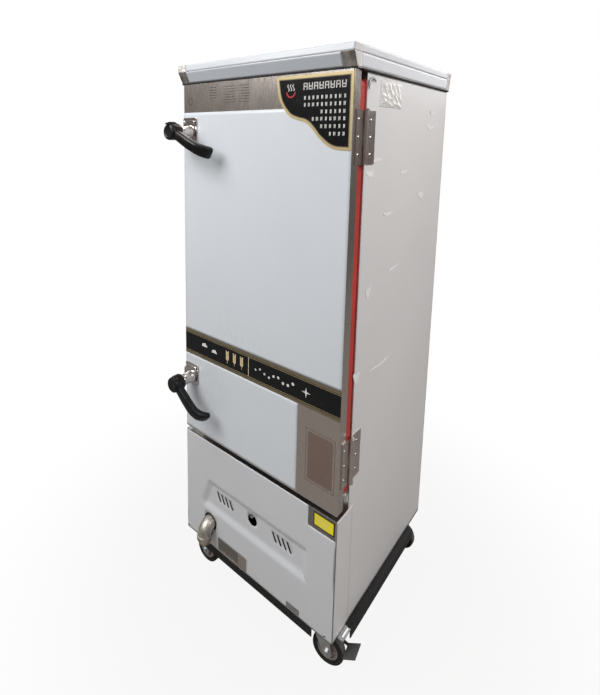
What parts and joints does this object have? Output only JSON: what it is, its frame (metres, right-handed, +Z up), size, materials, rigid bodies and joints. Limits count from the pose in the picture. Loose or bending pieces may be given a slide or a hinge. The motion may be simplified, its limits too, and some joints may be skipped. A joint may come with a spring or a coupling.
{
  "type": "rice steamer",
  "caption": "Tall insulated steam cabinet on swivel casters with a gasketed full-height door, lever latches, tray runners, an electrically heated water tank and a bottom drain.",
  "frame": {"origin": "on the floor, in the middle of the whole outline", "axes": "+X to the right seen from the front, +Y to the rear, +Z up"},
  "size_m": [0.674, 0.7895, 1.721],
  "materials": {
    "panel_steel": "satin",
    "bright_steel": "satin",
    "base_paint": "satin",
    "foam": "matte",
    "silicone": "satin",
    "lever_plastic": "satin",
    "chrome_casting": "polished",
    "zinc_plate": "satin",
    "brass": "satin",
    "element_tube": "satin",
    "grey_box": "satin",
    "handle_red": "satin",
    "float_plastic": "satin",
    "gland_plastic": "satin",
    "tyre_rubber": "matte",
    "hub_plastic": "satin",
    "brake_plastic": "satin",
    "screw_steel": "satin"
  },
  "bodies": {
    "cabinet": {"base_frame": "base_paint", "cabinet_floor": "bright_steel", "left_side_panel": "panel_steel", "right_side_panel": "panel_steel", "back_panel": "bright_steel", "top_cap": "panel_steel", "lower_front_cover": "panel_steel", "front_frame": "bright_steel", "chamber_liner": "bright_steel", "insulation": "foam", "left_tray_rack": "bright_steel", "right_tray_rack": "bright_steel", "trays": "bright_steel", "water_tank": "bright_steel", "steam_baffle": "bright_steel", "heating_elements": "element_tube", "element_flange": "bright_steel", "terminal_box": "grey_box", "drain_pipe": "bright_steel", "drain_valve_body": "brass", "drain_elbow": "zinc_plate", "float_box": "bright_steel", "float_box_lid": "bright_steel", "feed_pipe": "bright_steel", "float_valve": "brass", "steam_vent": "bright_steel", "cable_gland": "gland_plastic", "hinge_cabinet_leaves": "chrome_casting", "hinge_pins": "chrome_casting", "latch_keepers": "chrome_casting", "panel_screws": "screw_steel", "caster_plates": "zinc_plate"},
    "door": {"door_skin": "panel_steel", "door_core": "foam", "door_liner": "bright_steel", "door_gasket": "silicone", "hinge_door_leaves": "chrome_casting", "latch_bases": "chrome_casting", "door_screws": "screw_steel"},
    "upper_latch": {"upper_latch_lever": "lever_plastic", "upper_latch_tongue": "zinc_plate"},
    "lower_latch": {"lower_latch_lever": "lever_plastic", "lower_latch_tongue": "zinc_plate"},
    "float": {"float_arm": "brass", "float_ball": "float_plastic"},
    "drain_handle": {"drain_valve_handle": "handle_red"},
    "front_left_caster": {"front_left_fork": "zinc_plate"},
    "front_left_wheel": {"front_left_tyre": "tyre_rubber", "front_left_hub": "hub_plastic"},
    "front_left_brake": {"front_left_brake_pedal": "brake_plastic"},
    "front_right_caster": {"front_right_fork": "zinc_plate"},
    "front_right_wheel": {"front_right_tyre": "tyre_rubber", "front_right_hub": "hub_plastic"},
    "front_right_brake": {"front_right_brake_pedal": "brake_plastic"},
    "rear_left_caster": {"rear_left_fork": "zinc_plate"},
    "rear_left_wheel": {"rear_left_tyre": "tyre_rubber", "rear_left_hub": "hub_plastic"},
    "rear_right_caster": {"rear_right_fork": "zinc_plate"},
    "rear_right_wheel": {"rear_right_tyre": "tyre_rubber", "rear_right_hub": "hub_plastic"}
  },
  "joints": [
    {"name": "door_hinge", "type": "hinge", "parent": "cabinet", "child": "door", "pos_m": [0.28961, -0.252, 1.08025], "axis": [0, 0, 1], "range_deg": [0, 180]},
    {"name": "upper_latch_turn", "type": "hinge", "parent": "door", "child": "upper_latch", "pos_m": [-0.2854, -0.354, 1.519], "axis": [0, 1, 0], "range_deg": [-40, 50]},
    {"name": "lower_latch_turn", "type": "hinge", "parent": "door", "child": "lower_latch", "pos_m": [-0.2854, -0.354, 0.709], "axis": [0, 1, 0], "range_deg": [-40, 37]},
    {"name": "float_pivot", "type": "hinge", "parent": "cabinet", "child": "float", "pos_m": [0.14061, 0.354, 0.557], "axis": [0, 1, 0], "range_deg": [0, 30]},
    {"name": "drain_handle_turn", "type": "hinge", "parent": "cabinet", "child": "drain_handle", "pos_m": [-0.19839, -0.212, 0.24], "axis": [0, 0, 1], "range_deg": [0, 90]},
    {"name": "front_left_swivel", "type": "hinge", "parent": "cabinet", "child": "front_left_caster", "pos_m": [-0.26739, -0.26, 0.117], "axis": [0, 0, 1], "continuous": true},
    {"name": "front_left_roll", "type": "hinge", "parent": "front_left_caster", "child": "front_left_wheel", "pos_m": [-0.25139, -0.26, 0.048], "axis": [0, 1, 0], "continuous": true},
    {"name": "front_left_brake_press", "type": "hinge", "parent": "front_left_caster", "child": "front_left_brake", "pos_m": [-0.2494, -0.26, 0.072], "axis": [0, 1, 0], "range_deg": [0, 7]},
    {"name": "front_right_swivel", "type": "hinge", "parent": "cabinet", "child": "front_right_caster", "pos_m": [0.23261, -0.26, 0.117], "axis": [0, 0, 1], "continuous": true},
    {"name": "front_right_roll", "type": "hinge", "parent": "front_right_caster", "child": "front_right_wheel", "pos_m": [0.24841, -0.2575, 0.048], "axis": [-0.1564, 0.9877, 0], "continuous": true},
    {"name": "front_right_brake_press", "type": "hinge", "parent": "front_right_caster", "child": "front_right_brake", "pos_m": [0.25038, -0.25718, 0.072], "axis": [-0.1564, 0.9877, 0], "range_deg": [0, 7]},
    {"name": "rear_left_swivel", "type": "hinge", "parent": "cabinet", "child": "rear_left_caster", "pos_m": [-0.26739, 0.248, 0.117], "axis": [0, 0, 1], "continuous": true},
    {"name": "rear_left_roll", "type": "hinge", "parent": "rear_left_caster", "child": "rear_left_wheel", "pos_m": [-0.25139, 0.248, 0.048], "axis": [0, 1, 0], "continuous": true},
    {"name": "rear_right_swivel", "type": "hinge", "parent": "cabinet", "child": "rear_right_caster", "pos_m": [0.23261, 0.248, 0.117], "axis": [0, 0, 1], "continuous": true},
    {"name": "rear_right_roll", "type": "hinge", "parent": "rear_right_caster", "child": "rear_right_wheel", "pos_m": [0.2486, 0.248, 0.048], "axis": [0, 1, 0], "continuous": true}
  ]
}
